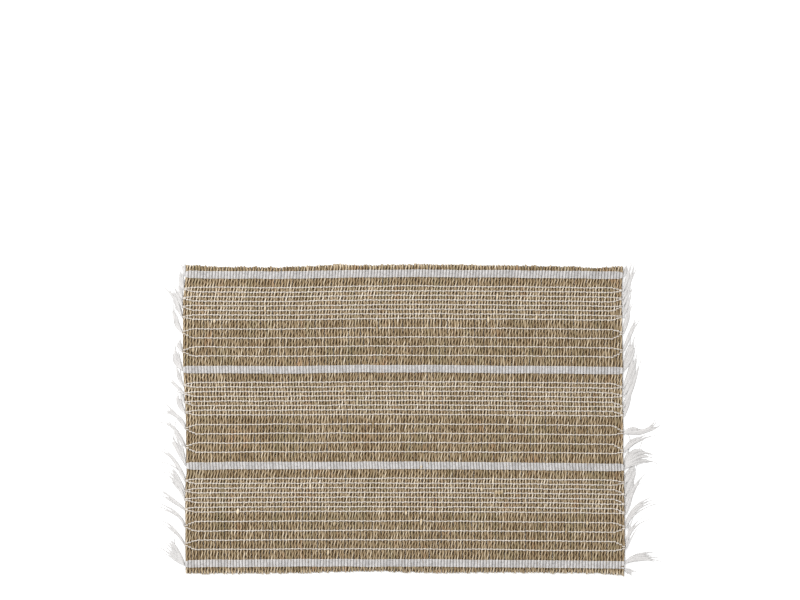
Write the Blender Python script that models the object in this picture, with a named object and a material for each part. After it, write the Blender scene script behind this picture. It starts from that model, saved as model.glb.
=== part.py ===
"""A seagrass placemat lying flat, with a knotted tassel of warp ends at each pair of warps.

Metres, +Z up. The seagrass cords run along Y, side by side along X. The cotton warps
run along X, and their ends are knotted in pairs along the two short sides. The origin
is the middle of the mat's flat underside.
"""

import math
import random
from collections import namedtuple

import bmesh
import bpy
from mathutils import Vector

MM = 0.001

# The mat
MAT_LENGTH = 0.500
CORD_COUNT = 146
CORD_PITCH = MAT_LENGTH / CORD_COUNT
CREST_HEIGHT = 0.0034
GROOVE_DEPTH = 0.0012
HEIGHT_JITTER = 0.0002

# The four close bands of white warps
BAND_CENTRES = (-0.1648, -0.0538, 0.0564, 0.1650)
BAND_WIDTH = 0.0088
BAND_RISE = 0.0006
BAND_GROOVE_DEPTH = 0.0005
OPEN_ROW = 0.1354  # one more row, where the short sides bulge most

# The cut ends of the cords, past the outer bands
END_HALF_WIDTH = 0.39 * CORD_PITCH
END_HEIGHT = 0.0027
END_JITTER = 0.0007
END_SLANT = 0.0004

# The warps bow a little along X: bow = middle + tilt * s + sag * s * s, s from -1 to 1
BOW_MIDDLE, BOW_TILT, BOW_SAG = 0.00075, -0.0008, -0.0016

# How far the short sides lie from the mat's middle, in millimetres
SideRow = namedtuple("SideRow", "y left right")
SHORT_SIDES = (
    SideRow(-170, 249.4, 250.5),
    SideRow(-145, 249.6, 251.6),
    SideRow(-75, 249.6, 250.5),
    SideRow(-58, 247.7, 250.2),
    SideRow(-45, 248.6, 249.3),
    SideRow(0, 248.9, 249.3),
    SideRow(30, 250.6, 248.2),
    SideRow(60, 252.3, 249.0),
    SideRow(135, 252.3, 247.7),
    SideRow(152, 250.2, 248.0),
    SideRow(170, 248.9, 249.3),
)

# How far the cord ends lie from the mat's middle, in millimetres
EndRow = namedtuple("EndRow", "x top bottom")
LONG_SIDES = (
    EndRow(-250, 176.3, 176.2),
    EndRow(-220, 173.4, 176.4),
    EndRow(-140, 173.2, 176.2),
    EndRow(-112, 174.2, 175.6),
    EndRow(-80, 176.3, 174.6),
    EndRow(-35, 175.3, 173.6),
    EndRow(0, 176.3, 174.6),
    EndRow(50, 176.3, 175.8),
    EndRow(100, 175.2, 174.8),
    EndRow(175, 174.2, 175.8),
    EndRow(216, 172.2, 176.0),
    EndRow(250, 174.4, 178.6),
)

# Tassels: root is the knot's place along the short side; out and up lead from the knot to the
# middle of the tips, away from the mat and along +Y; bow is the path's sideways swing, positive
# towards the mat; spread is the fan's width at its tips. Millimetres, but for locks, a count.
Tassel = namedtuple("Tassel", "root out up bow spread locks")
LEFT_TASSELS = (
    Tassel(165.1, 6.5, 14, 0, 3.5, 3),
    Tassel(148.2, 9.0, 22, 0, 2.8, 3),
    Tassel(137.7, 7.5, 16, 0, 2.6, 3),
    Tassel(128.1, 12.0, 23, 0, 2.8, 3),
    Tassel(116.4, 16.5, 31, 0, 3.2, 3),
    Tassel(98.9, 22.5, 50, 0, 4.0, 3),
    Tassel(77.2, 6.5, 14, -1, 2.8, 3),
    Tassel(56.2, 12.0, 33, -3, 4.5, 4),
    Tassel(38.6, 11.0, 22, 0, 2.8, 3),
    Tassel(29.0, 18.0, 18.5, 1, 3.5, 3),
    Tassel(19.4, 8.5, 10, 0, 2.8, 3),
    Tassel(7.7, 11.5, 17, 0, 2.8, 3),
    Tassel(-10.7, 24.5, 22, 3, 9.0, 4),
    Tassel(-31.6, 19.0, 27, 0, 8.0, 4),
    Tassel(-52.7, 19.5, 34, 0, 6.0, 4),
    Tassel(-70.0, 27.0, 34.5, 2, 4.0, 3),
    Tassel(-81.9, 19.5, 25, 0, 5.0, 3),
    Tassel(-91.4, 21.0, 26, 0, 3.2, 3),
    Tassel(-102.8, 27.5, 19.5, 2, 5.0, 3),
    Tassel(-122.4, 29.5, 22.5, 3, 5.5, 3),
    Tassel(-142.5, 25.5, 24, 1.5, 4.0, 3),
    Tassel(-165.8, 25.0, 25.5, 0, 15.0, 5),
)
RIGHT_TASSELS = (
    Tassel(162.8, 5.5, 15, 0, 3.5, 3),
    Tassel(146.1, 13.5, 29, 0, 3.5, 3),
    Tassel(136.9, 14.5, 23, 0, 2.8, 3),
    Tassel(128.9, 14.0, 20, 0, 2.8, 3),
    Tassel(116.8, 12.5, 17, 0, 2.8, 3),
    Tassel(98.0, 16.0, 29, 0, 3.0, 3),
    Tassel(78.0, 17.0, 35, 0, 4.5, 3),
    Tassel(55.6, 14.0, 29, 0, 9.0, 4),
    Tassel(35.7, 15.0, 33, 0, 2.8, 3),
    Tassel(26.0, 17.0, 34, 0, 2.8, 3),
    Tassel(13.9, 20.0, 40, 0, 2.8, 3),
    Tassel(3.9, 17.0, 30, 0, 2.8, 3),
    Tassel(-15.7, 36.5, 10, -4, 6.0, 4),
    Tassel(-37.5, 29.0, 17, 3, 5.5, 4),
    Tassel(-55.9, 32.5, 12, 6, 12.0, 5),
    Tassel(-72.7, 12.0, 15, 0, 2.8, 3),
    Tassel(-86.4, 17.0, 24, 0, 2.8, 3),
    Tassel(-97.8, 20.0, 32, 0, 3.5, 3),
    Tassel(-107.8, 20.5, 32, 0, 3.5, 3),
    Tassel(-123.3, 30.0, 29, 3, 6.0, 3),
    Tassel(-147.1, 17.5, 31, 0, 8.0, 4),
    Tassel(-163.8, 34.0, 10, 5, 10.0, 4),
    Tassel(-171.5, 11.0, -4, 0, 4.0, 2),
)

# A tassel's knot, as three rings counted from the mat outwards
KnotRing = namedtuple("KnotRing", "out half_width low high")
KNOT_RINGS = (
    KnotRing(0.0, 0.7, 0.7, 2.2),
    KnotRing(1.0, 1.4, 0.0, 2.9),
    KnotRing(2.1, 1.2, 0.0, 1.8),
)
KNOT_GAP = 0.0003
LOCK_HIGH = 0.0017
LOCK_WIDE = 0.0017
LOCK_SHARE = 0.72  # of the space between two locks that a lock fills
LOCK_TURNS = (0.34, 0.78)  # where along a lock its middle rings stand
LOCK_TAPER = (1.0, 0.9)
LOCK_LEAD = 4.0  # millimetres that a tassel runs straight out of its knot
TIP_HEIGHT = 0.0003
TIP_STAGGER = 0.10  # how much shorter every second lock is

COLOURS = {"seagrass": (0.56, 0.46, 0.31, 1.0), "cotton": (0.87, 0.85, 0.81, 1.0)}
RANDOM = random.Random(11)


def blend(table, column, key, at):
    """Reads a column of a table between two of its rows, in metres."""
    at = at / MM
    rows = sorted(table, key=lambda row: getattr(row, key))
    for low, high in zip(rows, rows[1:]):
        low_key, high_key = getattr(low, key), getattr(high, key)
        if at <= high_key or high is rows[-1]:
            share = min(max((at - low_key) / (high_key - low_key), 0), 1)
            return MM * (getattr(low, column) * (1 - share) + getattr(high, column) * share)


def make_material(name):
    material = bpy.data.materials.new(name)
    material.use_nodes = True
    shader = material.node_tree.nodes["Principled BSDF"]
    shader.inputs["Base Color"].default_value = COLOURS[name]
    shader.inputs["Roughness"].default_value = 0.85
    shader.inputs["Metallic"].default_value = 0.0
    return material


def add_object(name, bm, collection, materials):
    mesh = bpy.data.meshes.new(name)
    bm.to_mesh(mesh)
    bm.free()
    for material in materials:
        mesh.materials.append(material)
    obj = bpy.data.objects.new(name, mesh)
    collection.objects.link(obj)
    return obj


def warp_bow(x):
    s = x / (MAT_LENGTH / 2)
    return BOW_MIDDLE + BOW_TILT * s + BOW_SAG * s * s


def mat_rows():
    """The rows of the mat's surface from -Y to +Y, as (y, crest height, groove depth)."""
    rows = [(OPEN_ROW, CREST_HEIGHT, GROOVE_DEPTH)]
    for centre in BAND_CENTRES:
        for side in (-1, 1):
            rows.append((centre + side * BAND_WIDTH / 2, CREST_HEIGHT, GROOVE_DEPTH))
        rows.append((centre, CREST_HEIGHT + BAND_RISE, BAND_GROOVE_DEPTH))
    return sorted(rows)


def surface_x(y, share):
    """The X of a place that lies at a share of the way from the left side to the right."""
    left = -blend(SHORT_SIDES, "left", "y", y)
    right = blend(SHORT_SIDES, "right", "y", y)
    return left + (right - left) * share


def surface_point(column, row):
    """A point of the top face: an even column is a groove and an odd one a cord's crest."""
    y, crest, groove = row
    x = surface_x(y, column / (2 * CORD_COUNT))
    height = crest + RANDOM.uniform(-HEIGHT_JITTER, HEIGHT_JITTER)
    if column % 2 == 0:
        height -= groove
    return Vector((x, y + warp_bow(x), height))


def add_cord_end(bm, cord_edges, column_name, side):
    """Runs one cord on past the outer band to its cut end, parted from its neighbours."""
    made = bmesh.ops.extrude_edge_only(bm, edges=cord_edges)["geom"]
    tips = sorted((e for e in made if isinstance(e, bmesh.types.BMVert)), key=lambda v: v.co.x)
    crest = tips[1].co.copy()
    end_y = side * blend(LONG_SIDES, column_name, "x", crest.x)
    end_y += RANDOM.uniform(-END_JITTER, END_JITTER)
    slant = RANDOM.uniform(-END_SLANT, END_SLANT)
    tips[0].co = (crest.x - END_HALF_WIDTH, end_y - slant, END_HEIGHT)
    last = Vector((crest.x + END_HALF_WIDTH, end_y + slant, END_HEIGHT))
    bmesh.ops.pointmerge(bm, verts=tips[1:], merge_co=last)


def add_cord_ends(bm, row_verts, column_name, side):
    for cord in range(CORD_COUNT):
        left, crest, right = row_verts[2 * cord : 2 * cord + 3]
        cord_edges = [bm.edges.get((left, crest)), bm.edges.get((crest, right))]
        add_cord_end(bm, cord_edges, column_name, side)


def close_to_floor(bm):
    """Drops a wall from the rim to the floor and closes the flat underside."""
    rim = [edge for edge in bm.edges if edge.is_boundary]
    made = bmesh.ops.extrude_edge_only(bm, edges=rim)["geom"]
    for vert in (e for e in made if isinstance(e, bmesh.types.BMVert)):
        vert.co.z = 0.0
    floor_rim = [e for e in made if isinstance(e, bmesh.types.BMEdge) and e.is_boundary]
    bmesh.ops.edgeloop_fill(bm, edges=floor_rim)
    bmesh.ops.recalc_face_normals(bm, faces=bm.faces)


def make_mat(collection, materials):
    rows, columns = mat_rows(), 2 * CORD_COUNT
    bm = bmesh.new()
    bmesh.ops.create_grid(bm, x_segments=columns, y_segments=len(rows) - 1, size=0.5)
    in_order = sorted(bm.verts, key=lambda vert: (round(vert.co.y, 6), vert.co.x))
    grid = [in_order[start : start + columns + 1] for start in range(0, len(in_order), columns + 1)]
    for row, verts in zip(rows, grid):
        for column, vert in enumerate(verts):
            vert.co = surface_point(column, row)
    for face in bm.faces:
        y = face.calc_center_median().y - warp_bow(face.calc_center_median().x)
        face.material_index = any(abs(y - centre) < BAND_WIDTH / 2 for centre in BAND_CENTRES)
    add_cord_ends(bm, grid[-1], "top", 1)
    add_cord_ends(bm, grid[0], "bottom", -1)
    close_to_floor(bm)
    return add_object("mat", bm, collection, materials)


def side_reach(y, side):
    """How far the mat's solid reaches along X at a place on a short side."""
    points = []
    for row in mat_rows():
        x = abs(surface_x(row[0], 0 if side < 0 else 1))
        points.append((row[0] + warp_bow(side * x), x))
    for low, high in zip(points, points[1:]):
        if y <= high[0] or high is points[-1]:
            share = min(max((y - low[0]) / (high[0] - low[0]), 0), 1)
            return low[1] + (high[1] - low[1]) * share


def tassel_path(tassel, share):
    """The middle of a tassel and its sideways direction, as (out, up) in millimetres."""
    start = Vector((KNOT_RINGS[-1].out, 0))
    tip = Vector((tassel.out, tassel.up))
    chord = tip - start
    across = Vector((-chord.y, chord.x)).normalized()
    lead = min(LOCK_LEAD, chord.length / 4)
    near = start + Vector((lead, math.copysign(lead, tassel.up) / 3))
    far = start + 0.6 * chord + 1.5 * tassel.bow * across
    rest = 1 - share
    place = rest**3 * start + 3 * rest**2 * share * near + 3 * rest * share**2 * far + share**3 * tip
    run = rest**2 * (near - start) + 2 * rest * share * (far - near) + share**2 * (tip - far)
    return place, Vector((-run.y, run.x)).normalized()


def add_locks(bm, front_faces, tassel, place_of):
    """Draws each face of the knot's front out into a lock that lies on the floor."""
    count = len(front_faces)
    root_step = 2 * KNOT_RINGS[-1].half_width / count
    tip_step = tassel.spread / (count - 1)
    for number, face in enumerate(front_faces):
        rank = number - (count - 1) / 2
        reach = 1 - TIP_STAGGER * (number % 2)
        for share, taper in zip(LOCK_TURNS, LOCK_TAPER):
            step = root_step + (tip_step - root_step) * share
            half = min(LOCK_WIDE / MM, LOCK_SHARE * step) * taper / 2
            middle, across = tassel_path(tassel, share * reach)
            face = bmesh.ops.extrude_discrete_faces(bm, faces=[face])["faces"][0]
            ordered = sorted(face.verts, key=lambda vert: vert.co.y)
            for vert, edge_side in zip(ordered, (-1, -1, 1, 1)):
                high = vert.co.z > LOCK_HIGH / 2
                vert.co = place_of(middle + across * (rank * step + edge_side * half))
                vert.co.z = LOCK_HIGH * taper if high else 0.0
        middle, across = tassel_path(tassel, reach)
        tip = place_of(middle + across * rank * tip_step)
        tip.z = TIP_HEIGHT
        face = bmesh.ops.extrude_discrete_faces(bm, faces=[face])["faces"][0]
        bmesh.ops.pointmerge(bm, verts=face.verts, merge_co=tip)


def make_tassel(name, tassel, side, collection, material):
    root_y = tassel.root * MM
    widest = max(ring.half_width for ring in KNOT_RINGS) * MM
    reach = max(side_reach(root_y + offset, side) for offset in (-widest, 0, widest))

    def place_of(point):
        return Vector((side * (reach + KNOT_GAP + point.x * MM), root_y + point.y * MM, 0))

    bm = bmesh.new()
    bmesh.ops.create_grid(bm, x_segments=1, y_segments=1, size=0.5)
    face = bm.faces[:][0]
    corners = ((-1, 0), (-1, 1), (1, 1), (1, 0))
    for depth, ring in enumerate(KNOT_RINGS):
        if depth:
            face = bmesh.ops.extrude_discrete_faces(bm, faces=[face])["faces"][0]
        for vert, (across, top) in zip(face.verts, corners):
            vert.co = place_of(Vector((ring.out, across * ring.half_width)))
            vert.co.z = (ring.high if top else ring.low) * MM
    front_edges = [edge for edge in face.edges if abs(edge.verts[0].co.y - edge.verts[1].co.y) > MM]
    bmesh.ops.subdivide_edges(bm, edges=front_edges, cuts=tassel.locks - 1, use_grid_fill=True)
    front_x = place_of(Vector((KNOT_RINGS[-1].out, 0))).x
    front_faces = [f for f in bm.faces if all(abs(v.co.x - front_x) < 1e-6 for v in f.verts)]
    front_faces.sort(key=lambda f: f.calc_center_median().y)
    add_locks(bm, front_faces, tassel, place_of)
    bmesh.ops.edgeloop_fill(bm, edges=[edge for edge in bm.edges if edge.is_boundary])
    bmesh.ops.recalc_face_normals(bm, faces=bm.faces)
    return add_object(name, bm, collection, [material])


def main():
    for obj in list(bpy.data.objects):
        bpy.data.objects.remove(obj)
    collection = bpy.data.collections.new("seagrass_placemat")
    bpy.context.scene.collection.children.link(collection)
    seagrass, cotton = make_material("seagrass"), make_material("cotton")
    make_mat(collection, [seagrass, cotton])
    for side_name, side, tassels in (("left", -1, LEFT_TASSELS), ("right", 1, RIGHT_TASSELS)):
        for number, tassel in enumerate(tassels, 1):
            make_tassel(f"tassel_{side_name}_{number:02d}", tassel, side, collection, cotton)


main()
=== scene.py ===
import math
import random

import bmesh
import bpy
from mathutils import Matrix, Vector, noise


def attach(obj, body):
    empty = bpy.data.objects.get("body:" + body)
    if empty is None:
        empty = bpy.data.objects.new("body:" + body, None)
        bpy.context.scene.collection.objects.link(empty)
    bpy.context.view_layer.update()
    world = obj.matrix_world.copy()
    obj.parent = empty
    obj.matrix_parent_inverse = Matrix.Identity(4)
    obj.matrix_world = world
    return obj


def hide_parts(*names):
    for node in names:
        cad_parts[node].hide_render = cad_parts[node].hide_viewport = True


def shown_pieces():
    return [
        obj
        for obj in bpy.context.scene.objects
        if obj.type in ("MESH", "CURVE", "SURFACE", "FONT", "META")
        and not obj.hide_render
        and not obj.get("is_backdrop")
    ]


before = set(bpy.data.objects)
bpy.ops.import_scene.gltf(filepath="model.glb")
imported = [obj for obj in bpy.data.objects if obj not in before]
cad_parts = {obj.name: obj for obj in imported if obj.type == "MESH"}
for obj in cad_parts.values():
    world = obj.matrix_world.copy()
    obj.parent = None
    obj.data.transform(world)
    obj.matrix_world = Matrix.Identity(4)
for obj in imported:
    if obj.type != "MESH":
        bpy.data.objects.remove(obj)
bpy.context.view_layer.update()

mm = 0.001
scene = bpy.context.scene
chance = random.Random(7)

# How the mat is laid out, the same as in the solids. Lengths are metres unless a comment says mm.
mat = {
    "length": 0.500,
    "cordCount": 146,
    "middleHeight": 0.00202,  # of the cords above the table; the warps pass under them
    "bandCentres": (0.1650, 0.0564, -0.0538, -0.1648),
    "bow": (0.00075, -0.0008, -0.0016),  # a warp's rise in the middle, its tilt and its sag at the sides
    "leftSag": (0.0019, -0.150, 0.085),  # its depth, its place along X and its reach
    "leftSagGrows": (-0.05, 0.15),  # from none at the first place along Y to all at the second
    # place along Y, then how far the left and right sides lie from the middle, in mm
    "shortSides": (
        (-170, 249.4, 250.5), (-145, 249.6, 251.6), (-75, 249.6, 250.5), (-58, 247.7, 250.2),
        (-45, 248.6, 249.3), (0, 248.9, 249.3), (30, 250.6, 248.2), (60, 252.3, 249.0),
        (135, 252.3, 247.7), (152, 250.2, 248.0), (170, 248.9, 249.3),
    ),
    # place along X, then how far the cord ends reach at the top and the bottom, in mm
    "longSides": (
        (-250, 176.3, 176.2), (-220, 173.4, 176.4), (-140, 173.2, 176.2), (-112, 174.2, 175.6),
        (-80, 176.3, 174.6), (-35, 175.3, 173.6), (0, 176.3, 174.6), (50, 176.3, 175.8),
        (100, 175.2, 174.8), (175, 174.2, 175.8), (216, 172.2, 176.0), (250, 174.4, 178.6),
    ),
}


def readTable(table, column, at):
    # a column of a table in mm, read between its rows and given in metres
    at = at / mm
    for low, high in zip(table, table[1:]):
        if at <= high[0] or high is table[-1]:
            share = min(max((at - low[0]) / (high[0] - low[0]), 0), 1)
            return mm * (low[column] * (1 - share) + high[column] * share)


def warpBow(x, y):
    # how far a warp lies off its straight line: all of them bow, and those at the top left sag too
    middle, tilt, sag = mat["bow"]
    side = x / (mat["length"] / 2)
    depth, place, reach = mat["leftSag"]
    start, full = mat["leftSagGrows"]
    grown = min(max((y - start) / (full - start), 0), 1)
    return middle + tilt * side + sag * side * side - grown * depth * math.exp(-((x - place) / reach) ** 2)


def acrossMat(y, share):
    left = -readTable(mat["shortSides"], 1, y)
    right = readTable(mat["shortSides"], 2, y)
    return left + (right - left) * share


def waver(a, b, depth=0.0):
    # a smooth random number from -1 to 1; another depth gives other numbers
    return noise.noise(Vector((a, b, depth)))


def link(obj):
    scene.collection.objects.link(obj)
    return obj


def ovalSection(width, height, sides):
    # the closed outline that every strand of a piece is swept with
    outline = bpy.data.curves.new("section", "CURVE")
    outline.dimensions = "2D"
    ring = outline.splines.new("POLY")
    ring.points.add(sides - 1)
    for number, point in enumerate(ring.points):
        angle = -2 * math.pi * number / sides
        point.co = (width / 2 * math.cos(angle), height / 2 * math.sin(angle), 0, 1)
    ring.use_cyclic_u = True
    return link(bpy.data.objects.new("section", outline))


def layStrands(name, strands, width, height, sides, closed=False):
    # sweeps the section along every strand, each a list of (place, thickness), into one mesh
    section = ovalSection(width, height, sides)
    route = bpy.data.curves.new(name, "CURVE")
    route.dimensions = "3D"
    route.twist_mode = "MINIMUM" if closed else "Z_UP"
    route.bevel_mode = "OBJECT"
    route.bevel_object = section
    tones, lengths = [], []
    for strand in strands:
        spline = route.splines.new("POLY")
        spline.points.add(len(strand) - 1)
        spline.points.foreach_set("co", [c for place, size in strand for c in (*place, 1.0)])
        spline.points.foreach_set("radius", [size for place, size in strand])
        spline.use_smooth = True
        spline.use_cyclic_u = closed
        tones += [chance.random()] * (len(strand) * sides)
        run = 0.0
        for step, (place, size) in enumerate(strand):
            run += (Vector(place) - Vector(strand[step - 1][0])).length if step else 0.0
            lengths += [run] * sides
    sweep = link(bpy.data.objects.new(name, route))
    graph = bpy.context.evaluated_depsgraph_get()
    mesh = bpy.data.meshes.new_from_object(sweep.evaluated_get(graph), depsgraph=graph)
    mesh.attributes.new("tone", "FLOAT", "POINT").data.foreach_set("value", tones)
    mesh.attributes.new("along", "FLOAT", "POINT").data.foreach_set("value", lengths)
    if not closed:
        bm = bmesh.new()
        bm.from_mesh(mesh)
        bmesh.ops.holes_fill(bm, edges=[e for e in bm.edges if e.is_boundary], sides=sides)
        bm.to_mesh(mesh)
        bm.free()
    bpy.data.objects.remove(sweep)
    bpy.data.objects.remove(section)
    piece = link(bpy.data.objects.new(name, mesh))
    mesh.name = name
    return piece


# Shader nodes

def addNode(tree, kind, inputs=(), **settings):
    node = tree.nodes.new(kind)
    for key, value in settings.items():
        setattr(node, key, value)
    for key, value in dict(inputs).items():
        if isinstance(value, bpy.types.NodeSocket):
            tree.links.new(value, node.inputs[key])
        else:
            node.inputs[key].default_value = value
    return node


def mathNode(tree, operation, *values):
    return addNode(tree, "ShaderNodeMath", enumerate(values), operation=operation).outputs[0]


def mapRange(tree, value, low, high, start=0.0, end=1.0):
    node = addNode(tree, "ShaderNodeMapRange", {
        "Value": value, "From Min": low, "From Max": high, "To Min": start, "To Max": end,
    })
    return node.outputs["Result"]


def noiseNode(tree, vector, scale=1.0, detail=2.0, roughness=0.5):
    node = addNode(tree, "ShaderNodeTexNoise", {
        "Vector": vector, "Scale": scale, "Detail": detail, "Roughness": roughness,
    })
    return node.outputs["Fac"]


def mixColours(tree, factor, first, second):
    # the two colour inputs have the same name, so they go by number
    return addNode(tree, "ShaderNodeMix", {0: factor, 6: first, 7: second}, data_type="RGBA").outputs[2]


def readAttribute(tree, name):
    return addNode(tree, "ShaderNodeAttribute", attribute_name=name).outputs["Fac"]


def readPlace(tree):
    return addNode(tree, "ShaderNodeTexCoord").outputs["Object"]


def readAxis(tree, vector, axis):
    return addNode(tree, "ShaderNodeSeparateXYZ", {0: vector}).outputs[axis]


def readAround(tree):
    # the share of the way round a strand
    return readAxis(tree, addNode(tree, "ShaderNodeUVMap", uv_map="UVMap").outputs[0], "Y")


def addRelief(tree, shader, height, depth, strength):
    bump = addNode(tree, "ShaderNodeBump", {"Height": height, "Distance": depth, "Strength": strength})
    tree.links.new(bump.outputs[0], shader.inputs["Normal"])


def startGroup(name, inputs, outputs):
    group = bpy.data.node_groups.new(name, "ShaderNodeTree")
    for socket, value in inputs.items():
        made = group.interface.new_socket(socket, in_out="INPUT", socket_type="NodeSocketFloat")
        made.default_value = value
    for socket in outputs:
        group.interface.new_socket(socket, in_out="OUTPUT", socket_type="NodeSocketFloat")
    given = group.nodes.new("NodeGroupInput")
    result = group.nodes.new("NodeGroupOutput")
    return group, given.outputs, result.inputs


def makeStrandGroup():
    # fibres that wind round a strand as they run along it, with light and shade between them
    group, given, result = startGroup(
        "strandFibres", {"Run": 60.0, "Wind": 120.0, "Fibres": 5.0, "Detail": 3.0}, ("Streak", "Height"),
    )
    radius, strandShift, roughness = 0.5, 91.0, 0.6
    streakFrom, streakTo = 0.3, 0.7
    along = readAttribute(group, "along")
    turn = mathNode(group, "ADD", readAround(group), mathNode(group, "MULTIPLY", along, given["Wind"]))
    angle = mathNode(group, "MULTIPLY", turn, 2 * math.pi)
    run = mathNode(group, "MULTIPLY", along, given["Run"])
    shift = mathNode(group, "MULTIPLY", readAttribute(group, "tone"), strandShift)
    place = addNode(group, "ShaderNodeCombineXYZ", {
        "X": mathNode(group, "MULTIPLY", mathNode(group, "COSINE", angle), radius),
        "Y": mathNode(group, "MULTIPLY", mathNode(group, "SINE", angle), radius),
        "Z": mathNode(group, "ADD", run, shift),
    })
    grain = noiseNode(group, place.outputs[0], given["Fibres"], given["Detail"], roughness)
    group.links.new(mapRange(group, grain, streakFrom, streakTo), result["Streak"])
    group.links.new(grain, result["Height"])
    return group


def makeLiftGroup():
    # how far a point stands out of the middle of the weave: 0 down in a gap, 1 on a crest
    # the materials use it for painted shade, darker down in the gaps
    group, given, result = startGroup("weaveLift", {"Low": 0.0003, "High": 0.0013}, ("Lift",))
    up = readAxis(group, readPlace(group), "Z")
    height = mathNode(group, "ABSOLUTE", mathNode(group, "SUBTRACT", up, mat["middleHeight"]))
    group.links.new(mapRange(group, height, given["Low"], given["High"]), result["Lift"])
    return group


strandGroup = makeStrandGroup()
liftGroup = makeLiftGroup()


def useGroup(tree, group, values):
    node = tree.nodes.new("ShaderNodeGroup")
    node.node_tree = group
    for key, value in values.items():
        node.inputs[key].default_value = value
    return node.outputs


def startMaterial(name):
    material = bpy.data.materials.new(name)
    material.use_nodes = True
    return material, material.node_tree, material.node_tree.nodes["Principled BSDF"]


seagrass = {
    # from the darkest to the palest grass, picked by the blades' tone and by painted shade that is darker
    # down in the weave
    "ramp": (
        (0.05, (0.110, 0.070, 0.032, 1)),
        (0.45, (0.315, 0.235, 0.140, 1)),
        (0.82, (0.590, 0.490, 0.350, 1)),
        (1.00, (0.800, 0.720, 0.600, 1)),
    ),
    # olive and rust patches: colour, fineness along X, Y and Z, the noise where they start and are
    # full, and the share of the colour there
    "patches": (
        ((0.215, 0.190, 0.105, 1), (60, 22, 30), 0.52, 0.70, 0.38),
        ((0.370, 0.200, 0.100, 1), (64, 27, 40), 0.61, 0.77, 0.50),
    ),
    # the colour of the painted shade on the sides of the plies, and how close to the sides it keeps
    "paintedShade": (0.090, 0.052, 0.022, 1),
    "paintedShadeSharpness": 2.5,
    "roughness": 0.58,
    "shine": 0.18,
    "relief": (0.0004, 0.8),
    "fibres": {"Run": 14.0, "Wind": 30.0, "Fibres": 4.2, "Detail": 3.0},
    "lift": {"Low": 0.0002, "High": 0.0014},
    "bladeSpread": 517.0,  # between one cord's run of blades and the next one's
    "bladeChanges": 32.0,  # of shade in a metre of cord
    "bladeDetail": 1.5,
    "bladeFrom": (0.30, 0.70),
    # how much each counts in the blades' light and dark; the crests' share is painted shade, darker down
    # in the weave
    "streaks": 0.42,
    "blades": 0.52,
    "crests": 0.47,
    "darker": 0.27,
    "cutEnds": (0.1715, 0.1755, 0.30),  # from where to where the cords pale, and by how much
    "pressed": (0.13, 0.475),  # where the close lines are, in each repeat below a band
    "pressedFade": 0.03,
    # the strength of that painted highlight
    "pressedHighlight": 0.16,
}


def seagrassShade(tree, fibres, up, darker):
    # a grass blade is used up after a hand's length or so, and the next has another shade
    blade = addNode(tree, "ShaderNodeCombineXYZ", {
        "X": mathNode(tree, "MULTIPLY", readAttribute(tree, "tone"), seagrass["bladeSpread"]),
        "Y": mathNode(tree, "MULTIPLY", readAttribute(tree, "along"), seagrass["bladeChanges"]),
    })
    bladeNoise = noiseNode(tree, blade.outputs[0], detail=seagrass["bladeDetail"])
    blades = mapRange(tree, bladeNoise, *seagrass["bladeFrom"])
    lift = useGroup(tree, liftGroup, seagrass["lift"])["Lift"]
    shade = mathNode(tree, "MULTIPLY", fibres["Streak"], seagrass["streaks"])
    shade = mathNode(tree, "MULTIPLY_ADD", blades, seagrass["blades"], shade)
    # painted shade: darker down in the weave, paler on the crests
    shade = mathNode(tree, "MULTIPLY_ADD", lift, seagrass["crests"], shade)
    # the cut ends are pale
    start, full, most = seagrass["cutEnds"]
    cutEnd = mapRange(tree, mathNode(tree, "ABSOLUTE", up), start, full, end=most)
    shade = mathNode(tree, "ADD", shade, cutEnd)
    # the crests where the close lines press the cords get a painted highlight
    start, end = seagrass["pressed"]
    half = (end - start) / 2
    repeat = (mat["bandCentres"][0] - mat["bandCentres"][-1]) / 3
    down = mathNode(tree, "SUBTRACT", mat["bandCentres"][0], up)
    part = mathNode(tree, "FRACT", mathNode(tree, "DIVIDE", down, repeat))
    away = mathNode(tree, "ABSOLUTE", mathNode(tree, "SUBTRACT", part, (start + end) / 2))
    pressed = mapRange(tree, away, half, half + seagrass["pressedFade"], 1.0, 0.0)
    pressed = mathNode(tree, "MULTIPLY", pressed, lift)
    shade = mathNode(tree, "MULTIPLY_ADD", pressed, seagrass["pressedHighlight"], shade)
    return mathNode(tree, "SUBTRACT", shade, seagrass["darker"] + darker)


def makeSeagrass(name, paintedShadeDepth, darker=0.0):
    material, tree, shader = startMaterial(name)
    fibres = useGroup(tree, strandGroup, seagrass["fibres"])
    place = readPlace(tree)
    shade = seagrassShade(tree, fibres, readAxis(tree, place, "Y"), darker)
    ramp = addNode(tree, "ShaderNodeValToRGB", {"Fac": shade})
    stops = ramp.color_ramp.elements
    stops[0].position, stops[0].color = seagrass["ramp"][0]
    stops[1].position, stops[1].color = seagrass["ramp"][-1]
    for position, colour in seagrass["ramp"][1:-1]:
        stops.new(position).color = colour
    tinted = ramp.outputs["Color"]
    for colour, scale, low, high, most in seagrass["patches"]:
        moved = addNode(tree, "ShaderNodeMapping", {
            "Vector": place, "Location": (scale[0], 3, 1), "Scale": scale,
        })
        mask = mapRange(tree, noiseNode(tree, moved.outputs[0]), low, high, end=most)
        tinted = mixColours(tree, mask, tinted, colour)
    # painted shade: each ply is darker on its two sides, where it faces its partner and its neighbours
    turn = mathNode(tree, "MULTIPLY", readAround(tree), 2 * math.pi)
    aside = mathNode(tree, "ABSOLUTE", mathNode(tree, "COSINE", turn))
    paintedShade = mathNode(tree, "POWER", aside, seagrass["paintedShadeSharpness"])
    paintedShade = mathNode(tree, "MULTIPLY", paintedShade, paintedShadeDepth)
    tinted = mixColours(tree, paintedShade, tinted, seagrass["paintedShade"])
    tree.links.new(tinted, shader.inputs["Base Color"])
    shader.inputs["Roughness"].default_value = seagrass["roughness"]
    shader.inputs["Specular IOR Level"].default_value = seagrass["shine"]
    addRelief(tree, shader, fibres["Height"], *seagrass["relief"])
    return material


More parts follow.
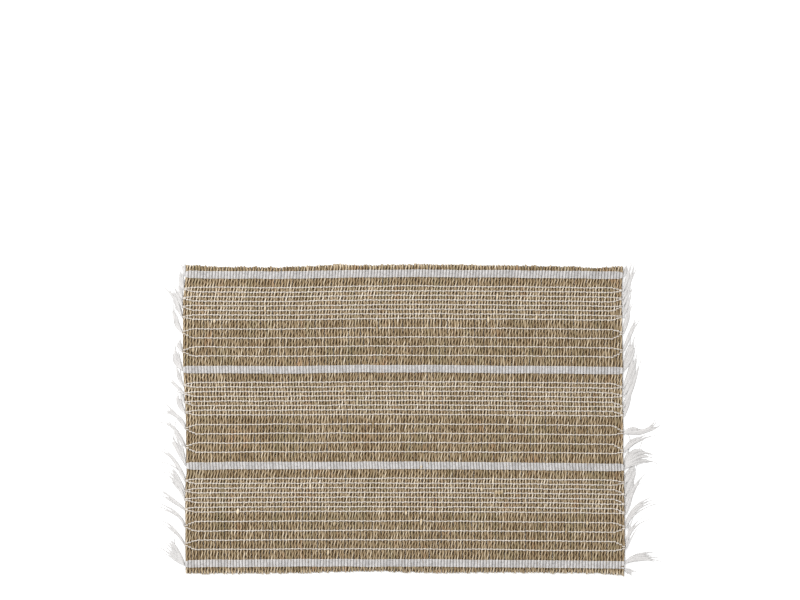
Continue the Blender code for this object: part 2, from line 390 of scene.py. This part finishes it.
cotton = {
    # light and dark fibres, and the shade down in the weave
    "warpCotton": ((0.70, 0.655, 0.60, 1), (0.53, 0.485, 0.43, 1), (0.27, 0.225, 0.180, 1)),
    "bandCotton": ((0.63, 0.61, 0.60, 1), (0.49, 0.475, 0.465, 1), (0.235, 0.228, 0.226, 1)),
    "tasselCotton": ((0.58, 0.567, 0.558, 1), (0.52, 0.507, 0.498, 1), None),
    # how the fibres run and wind in each, and the strength of their relief
    "warpCottonFibres": (120.0, 900.0, 0.7),
    "bandCottonFibres": (120.0, 700.0, 0.7),
    "tasselCottonFibres": (40.0, 30.0, 0.15),
    "fibres": {"Fibres": 2.2, "Detail": 2.0},
    "reliefDepth": 0.00025,
    "roughness": 0.86,
    "sheen": 0.25,
    "sheenRoughness": 0.5,
    "lift": {"Low": 0.0003, "High": 0.0014},
    "uneven": (290, 45, 1),  # how fast the shade changes from rib to rib and along one
    "unevenFrom": (0.30, 0.58, 0.60),  # the noise of the most shaded rib and of the least, and the share of its own colour that the most shaded keeps
}


def makeCotton(name):
    light, dark, shaded = cotton[name]
    run, wind, strength = cotton[name + "Fibres"]
    material, tree, shader = startMaterial(name)
    fibres = useGroup(tree, strandGroup, {"Run": run, "Wind": wind, **cotton["fibres"]})
    colour = mixColours(tree, fibres["Streak"], dark, light)
    if shaded:
        # painted shade: down in the weave the colour goes to the shaded one, on some ribs more than on
        # others
        lift = useGroup(tree, liftGroup, cotton["lift"])["Lift"]
        place = addNode(tree, "ShaderNodeMapping", {"Vector": readPlace(tree), "Scale": cotton["uneven"]})
        shown = mapRange(tree, noiseNode(tree, place.outputs[0], detail=1.0), *cotton["unevenFrom"])
        colour = mixColours(tree, mathNode(tree, "MULTIPLY", lift, shown), shaded, colour)
    tree.links.new(colour, shader.inputs["Base Color"])
    shader.inputs["Roughness"].default_value = cotton["roughness"]
    shader.inputs["Sheen Weight"].default_value = cotton["sheen"]
    shader.inputs["Sheen Roughness"].default_value = cotton["sheenRoughness"]
    addRelief(tree, shader, fibres["Height"], cotton["reliefDepth"], strength)
    return material


# the seagrass materials differ in the painted shade on the sides of the plies: the inner blades have the
# most, and the wide blades start darker
bladeSeagrass = makeSeagrass("bladeSeagrass", 0.55)
innerSeagrass = makeSeagrass("innerSeagrass", 0.90)
wideSeagrass = makeSeagrass("wideSeagrass", 0.15, 0.09)
warpCotton = makeCotton("warpCotton")
bandCotton = makeCotton("bandCotton")
tasselCotton = makeCotton("tasselCotton")
print("materials made")

# The seagrass cords, each of two plies twisted round a flat inner blade and squashed by the weaving
cord = {
    "plyWidth": 0.00182,
    "plyHeight": 0.00160,
    "plySides": 5,
    "sideways": 0.00084,  # how far a ply swings from the cord's middle, across and up
    "upDown": 0.00056,
    "turn": (0.0125, 0.020),  # the length of one full turn, from cord to cord
    "rings": 128,
    "endJitter": 0.0005,
    "plyEnd": (-0.0008, 0.0010),  # how far a ply stops short of its cord's end
    "tipSize": 0.72,
    "innerWidth": 0.0032,
    "innerHeight": 0.0009,
    "innerSides": 4,
    "innerRings": 44,
    "innerEnd": 0.0007,
    "innerDrift": (0.0003, 0.0002),  # across and up
    "sway": 0.0009,
    "swayScale": (14, 16),  # changes in a metre, across and along the cords
    "swayDies": 8,  # towards the short sides; the higher, the later
    "ownSway": 0.55,
    "ownScale": 60,
    "unevenTurn": 0.8,
    "turnScale": 26,
    "unevenSize": 0.22,
    "sizeScale": 90,
}


def makeCordSet():
    cords = []
    for number in range(mat["cordCount"]):
        share = (number + 0.5) / mat["cordCount"]
        x = acrossMat(0, share)
        cords.append({
            "share": share,
            "turn": chance.uniform(*cord["turn"]),
            "phase": chance.random(),
            "top": readTable(mat["longSides"], 1, x) + chance.uniform(-1, 1) * cord["endJitter"],
            "bottom": -readTable(mat["longSides"], 2, x) + chance.uniform(-1, 1) * cord["endJitter"],
            "seed": chance.uniform(0, 100),
        })
    return cords


cords = makeCordSet()


def cordMiddle(one, y):
    # neighbours lean together a little, as the beating left them
    x = acrossMat(y, one["share"])
    calm = 1 - abs(2 * one["share"] - 1) ** cord["swayDies"]
    across, along = cord["swayScale"]
    lean = waver(x * across, y * along, 0.5)
    lean += cord["ownSway"] * waver(one["seed"], y * cord["ownScale"], 3.1)
    return x + cord["sway"] * calm * lean


def cordAngle(one, y):
    uneven = cord["unevenTurn"] * waver(one["seed"], y * cord["turnScale"], 8.7)
    return 2 * math.pi * (y / one["turn"] + one["phase"] + uneven)


def plyStrand(one, ply):
    strand = []
    last = cord["rings"] - 1
    low = one["bottom"] + chance.uniform(*cord["plyEnd"])
    high = one["top"] - chance.uniform(*cord["plyEnd"])
    for ring in range(cord["rings"]):
        y = low + (high - low) * ring / last
        angle = cordAngle(one, y) + math.pi * ply
        x = cordMiddle(one, y) + cord["sideways"] * math.sin(angle)
        z = mat["middleHeight"] + cord["upDown"] * math.cos(angle)
        size = 1 + cord["unevenSize"] * waver(one["seed"] + 50 * ply, y * cord["sizeScale"])
        if ring in (0, last):
            size *= cord["tipSize"]
        strand.append(((x, y, z), size))
    return strand


def innerStrand(one):
    strand = []
    last = cord["innerRings"] - 1
    low = one["bottom"] + cord["innerEnd"]
    high = one["top"] - cord["innerEnd"]
    across, up = cord["innerDrift"]
    for ring in range(cord["innerRings"]):
        y = low + (high - low) * ring / last
        x = cordMiddle(one, y) + across * waver(one["seed"] + 20, y * cord["ownScale"], 2)
        z = mat["middleHeight"] + up * waver(one["seed"] + 40, y * cord["ownScale"], 4)
        strand.append(((x, y, z), 1.0))
    return strand


def placeCords(piece, material):
    piece.data.materials.append(material)
    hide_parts("mat")
    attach(piece, "root")
    return piece


def makeCords(name, shed):
    strands = [plyStrand(one, ply) for one in cords[shed::2] for ply in (0, 1)]
    piece = layStrands(name, strands, cord["plyWidth"], cord["plyHeight"], cord["plySides"])
    return placeCords(piece, bladeSeagrass)


# the flat inner blades fill the cords between their plies; low in the weave and with the strongest painted
# shade on their sides, they come out dark
def makeInnerBlades():
    strands = [innerStrand(one) for one in cords]
    piece = layStrands("innerBlades", strands, cord["innerWidth"], cord["innerHeight"], cord["innerSides"])
    return placeCords(piece, innerSeagrass)


# each shed is every other cord
firstShedCords = makeCords("firstShedCords", 0)
secondShedCords = makeCords("secondShedCords", 1)
innerBlades = makeInnerBlades()
print("cords laid:", len(cords))

# Here and there a whole blade lies flat over its cord: the cord's number, the blade's middle, its
# length and its width in mm. The placed ones show at the left, and the rest are strewn.
wideBlade = {
    "placed": (
        (2, 97.0, 9.0, 3.1), (3, 78.7, 6.0, 3.5), (27, 125.2, 7.0, 2.8), (41, 104.6, 12.0, 2.6),
        (103, -83.5, 6.0, 3.3), (104, -84.0, 7.0, 3.5), (105, -83.0, 6.0, 3.2),
    ),
    "strewn": 26,
    "aside": 3,  # cords at each side that have none of these
    "reach": 165,
    "length": (5.0, 10.0),
    "width": (2.4, 3.2),
    "thickness": 0.00045,
    "sides": 6,
    "points": 9,
    "tilt": (0.02, 0.12),
    "rise": (0.0004, 0.0014),  # over the cord's middle at the blade's ends, and from there to its top
    "endShare": 0.04,
    "endSize": 0.25,
}


def blade(number, middle, length, width):
    strand = []
    last = wideBlade["points"] - 1
    ends, rise = wideBlade["rise"]
    least, narrow = wideBlade["endShare"], wideBlade["endSize"]
    tilt = chance.uniform(*wideBlade["tilt"])
    for point in range(wideBlade["points"]):
        share = point / last
        y = (middle + length * (share - 0.5)) * mm
        swell = math.sqrt(math.sin(math.pi * min(max(share, least), 1 - least)))
        x = cordMiddle(cords[number], y) + tilt * (y - middle * mm)
        z = mat["middleHeight"] + ends + rise * swell
        strand.append(((x, y, z), width / wideBlade["width"][1] * (narrow + (1 - narrow) * swell)))
    return strand


def strewBlade():
    number = chance.randrange(wideBlade["aside"], mat["cordCount"] - wideBlade["aside"])
    middle = chance.uniform(-wideBlade["reach"], wideBlade["reach"])
    length = chance.uniform(*wideBlade["length"])
    return blade(number, middle, length, chance.uniform(*wideBlade["width"]))


def makeWideBlades():
    blades = [blade(*place) for place in wideBlade["placed"]]
    blades += [strewBlade() for count in range(wideBlade["strewn"])]
    widest = wideBlade["width"][1] * mm
    piece = layStrands("wideBlades", blades, widest, wideBlade["thickness"], wideBlade["sides"])
    return placeCords(piece, wideSeagrass)


wideBlades = makeWideBlades()
print("wide blades laid")

# The tassels. A root is the knot's place along the short side in mm, as in the solids. Its locks
# follow in steps of 1.14 mm out from the knot and up along +Y: (out, up) halfway, (out, up) at
# the tip, and the lock's width.
tassel = {
    "step": 1.14,
    "left": (
        (165.1, (1, 5, 4.5, 10, 2.2), (-0.3, 6, 1, 10.2, 2.2), (-0.5, 6, -0.8, 10, 1.6)),
        (148.2, (2.7, 8, 2.2, 19, 3), (0.6, 9, 0.4, 18, 2.4)),
        (137.7, (2.4, 8, 2.1, 18.5, 2.4), (0.8, 8, 0.6, 16, 1.6)),
        (128.1, (3, 9, 7.5, 13, 3), (4.5, 11, 8.5, 21.5, 0.9), (1.5, 7, 6, 17, 1.5)),
        (116.4, (4.5, 11, 11.5, 25.5, 3.2), (7, 18, 19, 30, 2.2), (5, 16, 9.5, 27.5, 2)),
        (98.9, (5.8, 10, 8.3, 27, 3.2), (6.8, 14, 9.8, 23, 2), (3.8, 9, 6.3, 23, 2)),
        (77.2, (2.2, 6, 1.5, 13, 3), (3.5, 5, 4.5, 8, 2)),
        (56.2, (5.5, 9.4, 6.5, 24.4, 4), (7.5, 9, 7.2, 19, 2.5), (3, 9.4, 3, 21.4, 2.5)),
        (38.6, (4.2, 9, 6.7, 21, 2.5), (2.2, 7, 2.2, 19, 1.6)),
        (29.0, (5.6, 6, 14.1, 16.5, 2.2), (6.6, 6.5, 16.6, 15.5, 1.2)),
        (19.4, (2, 7, 3, 16, 2), (1.5, 6, 6, 10, 1.5)),
        (7.7, (5.5, 9, 6.5, 20, 2.6), (3, 7, 4, 16, 2.4)),
        (-10.7, (9, 13, 21.5, 26.5, 2.2), (10, 14, 21.5, 17, 2.2), (9.5, 12.5, 22, 14.7, 2),
         (5, 9.5, 14, 16.5, 3)),
        (-31.6, (9.5, 16.5, 23.3, 24, 2), (9, 15.5, 16.3, 24.7, 1.6), (9.3, 14, 8.8, 26.2, 1.3),
         (10.5, 17.5, 20.8, 24.5, 1)),
        (-52.7, (7.5, 16, 13.3, 27.5, 3.4), (5, 16, 9.8, 29, 2), (8.5, 16, 16, 24.3, 2.2),
         (10, 22, 12.8, 33, 0.9), (2.5, 13, 4.3, 24, 1.6)),
        (-70.0, (10, 19, 24.5, 30, 2.4), (9, 18.5, 21.5, 32, 2), (10, 13, 24.5, 18, 0.7),
         (5, 11, 13, 23.5, 2.8)),
        (-81.9, (7, 13, 15, 23, 1.8), (8, 12, 18, 21, 2), (5.5, 13, 12.5, 24, 1.4)),
        (-91.4, (6, 13, 17, 24.5, 3), (8, 12.5, 19, 21.5, 1), (3.5, 10, 11.5, 23, 2)),
        (-102.8, (10, 7, 25, 14.5, 2.6), (10.5, 9, 22.8, 19.5, 2), (13, 11, 24.3, 18, 0.9)),
        (-122.4, (7.5, 11.5, 25.8, 16.7, 2.2), (8, 13.5, 24.5, 22.5, 1.5), (10, 13, 27, 19.7, 0.7)),
        (-142.5, (8.5, 11.5, 22.3, 20, 2), (8.5, 12.5, 19.8, 22.2, 1.2), (8, 12, 16, 21, 1.4),
         (9.5, 12, 9, 0, 0.7)),
        (-165.8, (7.5, 15, 15.5, 26, 2.2), (8.5, 14, 18.7, 24.2, 2), (9, 11.5, 18.5, 21.5, 1.8),
         (10, 9, 22.2, 20.8, 1.6), (10, 7.5, 24.2, 16.7, 1.6), (9, 4.5, 24.8, 14.5, 1.4)),
    ),
    "right": (
        (162.8, (2, 6, 2.5, 11.5, 2.5)),
        (146.1, (4.5, 12, 7, 26, 2.2), (5, 12.5, 8.5, 26.6, 1.6), (3, 9, 4, 18.6, 1.8)),
        (136.9, (6.5, 16, 11.7, 34.7, 2.2), (7, 16, 15.2, 33.2, 1.6), (4.5, 11, 6.7, 21.7, 2.5)),
        (128.9, (5, 13, 9, 26.7, 2.2), (5, 10, 9, 16.7, 1.5), (3, 8, 4.8, 15.7, 2.2)),
        (116.8, (4.7, 12, 8, 23.3, 2.2), (3, 10, 5, 20.3, 2.4)),
        (98.0, (3.9, 14, 7, 28.3, 3), (3.9, 16, 10, 30.3, 1.6), (1.7, 6, 1.3, 13.8, 1.4)),
        (78.0, (5.7, 15, 11.2, 31.3, 2.6), (6.7, 15, 15.2, 29.3, 1.8), (6.3, 16, 13.4, 30.8, 1.3)),
        (55.6, (4, 15, 7, 30.2, 4), (6, 14, 9.5, 29.7, 3.4), (8, 13, 12, 27.2, 2),
         (6.5, 20, 11.5, 34.2, 0.9)),
        (35.7, (6.5, 16, 9.7, 35.5, 3.4), (8, 16, 13.5, 33.5, 2.6)),
        (26.0, (8, 17, 13.2, 34, 3.6), (6, 16, 10.7, 36, 2.6)),
        (13.9, (7.5, 18, 16.3, 43.6, 3.6), (8, 20, 14, 38.6, 2.5)),
        (3.9, (4.2, 14, 8, 29.4, 3.2), (2.8, 13, 4, 27.4, 2.4)),
        (-15.7, (20, 1.2, 30.5, 12.3, 3.2), (20, 1.4, 35, 6.6, 3), (22, 3, 31.7, 10.1, 0.8),
         (8, 3.2, 16, 3, 3.4), (8, 0.2, 17, 1.2, 3)),
        (-37.5, (8, 9.5, 20.3, 16.2, 3.4), (10, 9, 25.8, 15, 2.6), (5.5, 9.5, 4.3, 16.4, 1),
         (15.5, 12.5, 16.5, 6.5, 0.8)),
        (-55.9, (1.8, 9, 4, 18.3, 3), (9, 16, 23, 14.3, 3.4), (12, 13.5, 28.3, 13.3, 2.8),
         (13.5, 10.5, 28, 9.8, 2.6), (15, 7, 29.5, 5.5, 2.4), (13, 4, 23.5, 5.3, 0.8)),
        (-72.7, (5, 10, 10, 19.6, 4.5), (2.5, 7, 6, 15.6, 4)),
        (-86.4, (6, 15, 11, 27.6, 3.6), (2, 8.5, 3.5, 15.6, 2.4)),
        (-97.8, (4, 13, 8.7, 26.6, 3.6), (2.2, 8.6, 3.2, 18.6, 3)),
        (-107.8, (6.5, 21, 17, 36.9, 3.2), (7.5, 21, 14.5, 30, 1), (5, 16, 8, 30.9, 2.4)),
        (-123.3, (8, 17.5, 23.5, 29, 2.4), (8.5, 17, 24.5, 26.5, 2.4), (9, 15.5, 25.5, 24, 1.8),
         (9.5, 13, 28.7, 22.8, 1), (4.5, 9.5, 9, 12.5, 0.9)),
        (-147.1, (4.5, 16, 17, 26.3, 2.2), (4, 17, 14, 28.3, 1.5), (3, 18, 8, 32.8, 1),
         (4.5, 9, 10, 17.8, 1), (2, 13, 2.5, 24.8, 0.8)),
        (-163.8, (11, 7, 28, 10.5, 2.4), (11, 5.5, 25, 7.5, 2.6), (12, 4.5, 31.5, 5, 3),
         (14, 3.5, 32.5, 1.7, 2.6), (16, 3.2, 29, 0.5, 1.6)),
        (-171.5, (4, -1.2, 9.8, -2.2, 2.6), (3.5, -2.5, 6.3, -5.8, 3)),
    ),
    "points": 11,
    "strandSides": 4,
    "threadWidth": 0.00070,
    "threadHeight": 0.00025,
    "threadsPerStep": 2.6,  # of a lock's width
    "threadLength": (0.80, 1.03),  # of its lock's
    "threadLoose": 0.35,
    "edgeShorter": 0.12,
    "tipThinner": 0.5,
    "hairs": 5,
    "hairSize": 0.52,
    "hairLength": (0.98, 1.20),
    "hairLoose": 1.3,
    "hairLane": 1.3,
    "strayScale": 3,
    "bodyWidth": 0.0034,
    "bodyHeight": 0.00062,
    "bodySides": 8,
    "bodyShare": 1.35,
    "bodyLength": 0.94,
    "bodyTip": 0.12,
    "fuller": 1.2,
    "belly": (0.9, 0.8),  # the share of the lock that it spans, and how round it is
    "tipSpread": 0.3,
    "lies": 0.00036,
    "fromKnot": 0.0011,
    "overLock": 0.00022,
    "sunk": 0.00009,
    "knotWidth": 0.0016,
    "knotOut": 0.0013,
    "knotHeight": 0.00135,
    "loopWidth": 0.00095,
    "loopSides": 6,
    "loopPoints": 20,
    "loopSize": (0.00026, 0.00030, 0.00055),
}

# The cotton warps. A single line is a pair of threads: one passes over every other cord and
# the other over those between. Steps are mm down from a band's centre, of a whole repeat. Apart is
# half the way between the two threads of a pair, gather how far from the side they start to draw
# together to their knot, and peaks the points over each cord: how far aside, and the share of the rise.
warp = {
    "repeat": 109.7,
    "steps": (14.6, 19.9, 25.2, 30.5, 35.8, 41.1, 46.4, 51.7, 62.5, 73.1, 83.6, 94.1),
    "line": {
        "width": 0.00134,
        "height": 0.00066,
        "apart": 0.00018,
        "gather": 0.0125,
        "peaks": ((-0.00105, 0.78), (0.0, 1.0), (0.00105, 0.78)),
    },
    "band": {
        "width": 0.00128,
        "height": 0.00070,
        "apart": 0.00010,
        "gather": 0.0024,
        "peaks": ((-0.00055, 1.0), (0.00055, 1.0)),
    },
    "sides": 4,
    "bandPairs": 7,
    "bandPitch": 0.00121,
    "cornerPairs": 2,  # of the last band, which end in a knot of their own at the right
    "upperThreads": 36,
    "wander": 0.00060,
    "wanderScale": 38,
    "pull": (1.3, 0.9),
    "nearKnot": 0.6,  # how much of the way between its threads a pair keeps there and in the knot
    "inKnot": 0.5,
    "knotOut": 0.0009,
    "knotHeight": 0.75,
}


def edgeX(y, side):
    return acrossMat(y, 0 if side < 0 else 1)


def gathered(y, x, knots, gather):
    # draws a line towards its knot as it nears a short side
    power, most = warp["pull"]
    for side, knot in zip((-1, 1), knots):
        inside = side * (edgeX(y, side) - x)
        if inside < gather:
            pull = (1 - max(inside, 0) / gather) ** power
            return y + (knot - y) * pull * most
    return y


def knotEnd(root, side, shift):
    x = edgeX(root, side) + side * warp["knotOut"]
    return (x, root + shift * warp["inKnot"], mat["middleHeight"] * warp["knotHeight"]), 1.0


def warpThread(kind, startY, parity, roots, shift, seed):
    # one thread from knot to knot, over one cord and under the next; those of one seed wander together
    halfThread = kind["height"] / 2
    knots = [root + shift * warp["nearKnot"] for root in roots]
    strand = [knotEnd(roots[0], -1, shift)]
    for number, one in enumerate(cords):
        x = cordMiddle(one, startY)
        wander = warp["wander"] * waver(x * warp["wanderScale"], seed)
        y = gathered(startY + warpBow(x, startY) + shift + wander, x, knots, kind["gather"])
        x = cordMiddle(one, y)
        rise = cord["plyHeight"] / 2 + cord["upDown"] * abs(math.cos(cordAngle(one, y))) + halfThread
        side = 1 if (number + parity) % 2 == 0 else -1
        for offset, share in kind["peaks"]:
            z = mat["middleHeight"] + side * rise * share
            strand.append(((x + offset, y, max(z, halfThread)), 1.0))
    strand.append(knotEnd(roots[1], 1, shift))
    return strand


def lineRoots():
    # every line's or band's place and its knot's number, from +Y to -Y; a band has a knot of its
    # own, and two neighbouring lines share one
    places = []
    centres = mat["bandCentres"]
    for above, below in zip(centres, centres[1:]):
        places.append(("band", above))
        for step in warp["steps"]:
            places.append(("line", above + (below - above) * step / warp["repeat"]))
    places.append(("band", centres[-1]))
    knot, lines, found = -1, 0, []
    for kind, y in places:
        if kind == "band":
            knot += 1
            lines = 0
        else:
            knot += lines == 0
            lines = 1 - lines
        found.append((kind, y, knot))
    return found


def lineThreads(y, roots, seed):
    flip = chance.random() < 0.5
    threads = []
    for parity in (0, 1):
        shift = warp["line"]["apart"] * (1 if parity == flip else -1)
        threads.append(warpThread(warp["line"], y, parity, roots, shift, seed))
    return threads


def bandThreads(y, roots, seed, last):
    threads = []
    for pair in range(warp["bandPairs"]):
        place = (pair - (warp["bandPairs"] - 1) / 2) * warp["bandPitch"]
        corner = last and pair < warp["cornerPairs"]
        ends = (roots[0], tassel["right"][-1][0] * mm) if corner else roots
        for parity in (0, 1):
            shift = warp["band"]["apart"] * (1 if parity else -1)
            threads.append(warpThread(warp["band"], y + place, parity, ends, shift, seed))
    return threads


def makeWarps():
    singles, bands = [], []
    for kind, y, knot in lineRoots():
        roots = tassel["left"][knot][0] * mm, tassel["right"][knot][0] * mm
        seed = chance.uniform(0, 100)
        if kind == "line":
            singles += lineThreads(y, roots, seed)
        else:
            bands += bandThreads(y, roots, seed, last=knot == len(tassel["left"]) - 1)
    upper = warp["upperThreads"]
    pieces = []
    for name, threads, kind, material in (
        ("singleWarps", singles[:upper], warp["line"], warpCotton),
        ("lowerWarps", singles[upper:], warp["line"], warpCotton),
        ("bandWarps", bands, warp["band"], bandCotton),
    ):
        piece = layStrands(name, threads, kind["width"], kind["height"], warp["sides"])
        piece.data.materials.append(material)
        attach(piece, "root")
        pieces.append(piece)
    return pieces


warps = makeWarps()
print("warps woven")


def lockPlace(lock, share):
    # the middle of a lock and its sideways direction, as (out, up) from the knot
    size = tassel["step"] * mm
    halfway = Vector(lock[0:2]) * size
    tip = Vector(lock[2:4]) * size
    handle = 2 * halfway - tip / 2
    place = 2 * share * (1 - share) * handle + share * share * tip
    run = 2 * (1 - 2 * share) * handle + 2 * share * tip
    return place, Vector((-run.y, run.x)).normalized()


def lockSpread(lock, share):
    # half the lock's width, narrow at the knot, full at the belly and loose at the tip
    belly = lock[4] * tassel["step"] * mm / 2 * tassel["fuller"]
    length, roundness = tassel["belly"]
    swell = math.sin(math.pi * min(share / length, 1)) ** roundness
    return tassel["knotWidth"] / 2 * (1 - share) ** 3 + belly * swell + tassel["tipSpread"] * belly * share


def lockHeight(share, layer):
    # a lock comes down from its knot and lies on the table, or on the lock under it
    left = max(1 - share, 0)
    return tassel["lies"] + tassel["fromKnot"] * left ** 4 + tassel["overLock"] * layer * left


def lockBody(rootY, lock, side, reach, layer):
    # the close cotton inside a lock, under its threads
    strand = []
    last = tassel["points"] - 1
    for step in range(tassel["points"]):
        share = tassel["bodyLength"] * step / last
        place = lockPlace(lock, share)[0]
        size = tassel["bodyShare"] * lockSpread(lock, share) / tassel["bodyWidth"] * (1 - share ** 4)
        size = max(size, tassel["bodyTip"])
        strand.append(((side * (reach + place.x), rootY + place.y, lockHeight(share, layer)), size))
    return strand


def lockThread(rootY, lock, side, reach, rank, layer, hair=False):
    # one fine thread of a lock; rank is its lane, from -1 to 1
    strand = []
    seed = chance.uniform(0, 100)
    if hair:
        length = chance.uniform(*tassel["hairLength"])
    else:
        length = chance.uniform(*tassel["threadLength"]) - tassel["edgeShorter"] * abs(rank)
    loose = tassel["hairLoose"] if hair else tassel["threadLoose"]
    thick = tassel["hairSize"] if hair else 1.0
    flat = math.sqrt(max(1 - rank * rank, 0))
    last = tassel["points"] - 1
    for step in range(tassel["points"]):
        share = length * step / last
        place, across = lockPlace(lock, share)
        half = lockSpread(lock, share)
        lane = max(half - tassel["threadWidth"] / 2, 0)
        stray = loose * mm * share * waver(seed, share * tassel["strayScale"])
        place = place + across * (rank * lane + stray)
        heap = tassel["bodyHeight"] * flat * half / tassel["bodyWidth"]
        z = max(lockHeight(share, layer) + heap - tassel["sunk"], tassel["threadHeight"] / 2)
        size = thick * (1.0 - tassel["tipThinner"] * min(share, 1) ** 3)
        strand.append(((side * (reach + place.x), rootY + place.y, z), size))
    return strand


def knotLoop(rootY, side, reach):
    # the overhand knot's own loop, pulled tight
    middle = Vector((side * reach, rootY, tassel["knotHeight"]))
    turn = chance.uniform(0, 2 * math.pi)
    wide, long, high = tassel["loopSize"]
    loop = []
    for step in range(tassel["loopPoints"]):
        t = 2 * math.pi * step / tassel["loopPoints"]
        a = math.sin(t) + 2 * math.sin(2 * t)
        b = math.cos(t) - 2 * math.cos(2 * t)
        x = a * math.cos(turn) - b * math.sin(turn)
        y = a * math.sin(turn) + b * math.cos(turn)
        loop.append((middle + Vector((x * wide, y * long, -math.sin(3 * t) * high)), 1.0))
    return loop


def makeTassels(sideName):
    side = -1 if sideName == "left" else 1
    threads, bodies, knots = [], [], []
    for root, *locks in tassel[sideName]:
        y = root * mm
        reach = abs(edgeX(y, side)) + tassel["knotOut"]
        for layer, lock in enumerate(locks):
            bodies.append(lockBody(y, lock, side, reach, layer))
            count = max(3, round(lock[4] * tassel["threadsPerStep"]))
            for number in range(count):
                rank = 2 * number / (count - 1) - 1
                threads.append(lockThread(y, lock, side, reach, rank, layer))
            for number in range(tassel["hairs"]):
                rank = chance.uniform(-1, 1) * tassel["hairLane"]
                threads.append(lockThread(y, lock, side, reach, rank, layer, hair=True))
        knots.append(knotLoop(y, side, reach))
    thin, wide, loop = tassel["threadWidth"], tassel["bodyWidth"], tassel["loopWidth"]
    pieces = (
        layStrands(sideName + "Tassels", threads, thin, tassel["threadHeight"], tassel["strandSides"]),
        layStrands(sideName + "Locks", bodies, wide, tassel["bodyHeight"], tassel["bodySides"]),
        layStrands(sideName + "Knots", knots, loop, loop, tassel["loopSides"], closed=True),
    )
    cadNames = [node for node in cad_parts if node.startswith("tassel_" + sideName)]
    for piece in pieces:
        piece.data.materials.append(tasselCotton)
        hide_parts(*cadNames)
        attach(piece, "root")
    return pieces


leftPieces = makeTassels("left")
rightPieces = makeTassels("right")
print("tassels knotted")

# The studio: a pale floor, soft light from above and the camera straight over the mat
studio = {
    "floorSize": 6.0,
    "floorColour": (0.93, 0.93, 0.93, 1),
    "floorRoughness": 0.9,
    "cameraAbove": (-0.0049, 0.1354, 3.0),
    "cameraSees": 50,
    "frameWidth": 0.912,
    "keyPlace": (-1.3, 1.1, 1.9),
    "keySize": 1.2,
    "keyPower": 47.0,
    "skyStrength": 1.10,
}


def makeFloor():
    bm = bmesh.new()
    bmesh.ops.create_grid(bm, x_segments=1, y_segments=1, size=studio["floorSize"] / 2)
    mesh = bpy.data.meshes.new("floor")
    bm.to_mesh(mesh)
    bm.free()
    floor = link(bpy.data.objects.new("floor", mesh))
    paper, tree, shader = startMaterial("paper")
    shader.inputs["Base Color"].default_value = studio["floorColour"]
    shader.inputs["Roughness"].default_value = studio["floorRoughness"]
    floor.data.materials.append(paper)
    floor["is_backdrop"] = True


def makeCamera():
    camera = link(bpy.data.objects.new("camera", bpy.data.cameras.new("camera")))
    camera.location = studio["cameraAbove"]
    camera.data.lens = camera.data.sensor_width * studio["cameraAbove"][2] / studio["frameWidth"]
    camera.data.clip_end = studio["cameraSees"]
    scene.camera = camera


def makeLight():
    key = link(bpy.data.objects.new("key", bpy.data.lights.new("key", "AREA")))
    key.data.shape = "DISK"
    key.data.size = studio["keySize"]
    key.data.energy = studio["keyPower"]
    key.location = studio["keyPlace"]
    key.rotation_euler = (-Vector(studio["keyPlace"])).to_track_quat("-Z", "Y").to_euler()

    sky = bpy.data.worlds.new("sky")
    sky.use_nodes = True
    sky.node_tree.nodes["Background"].inputs["Color"].default_value = (1, 1, 1, 1)
    sky.node_tree.nodes["Background"].inputs["Strength"].default_value = studio["skyStrength"]
    scene.world = sky
    scene.view_settings.view_transform = "Standard"


makeFloor()
makeCamera()
makeLight()
print("studio lit")

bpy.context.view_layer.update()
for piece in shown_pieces():
    print(piece.name, sum(len(face.vertices) - 2 for face in piece.data.polygons))
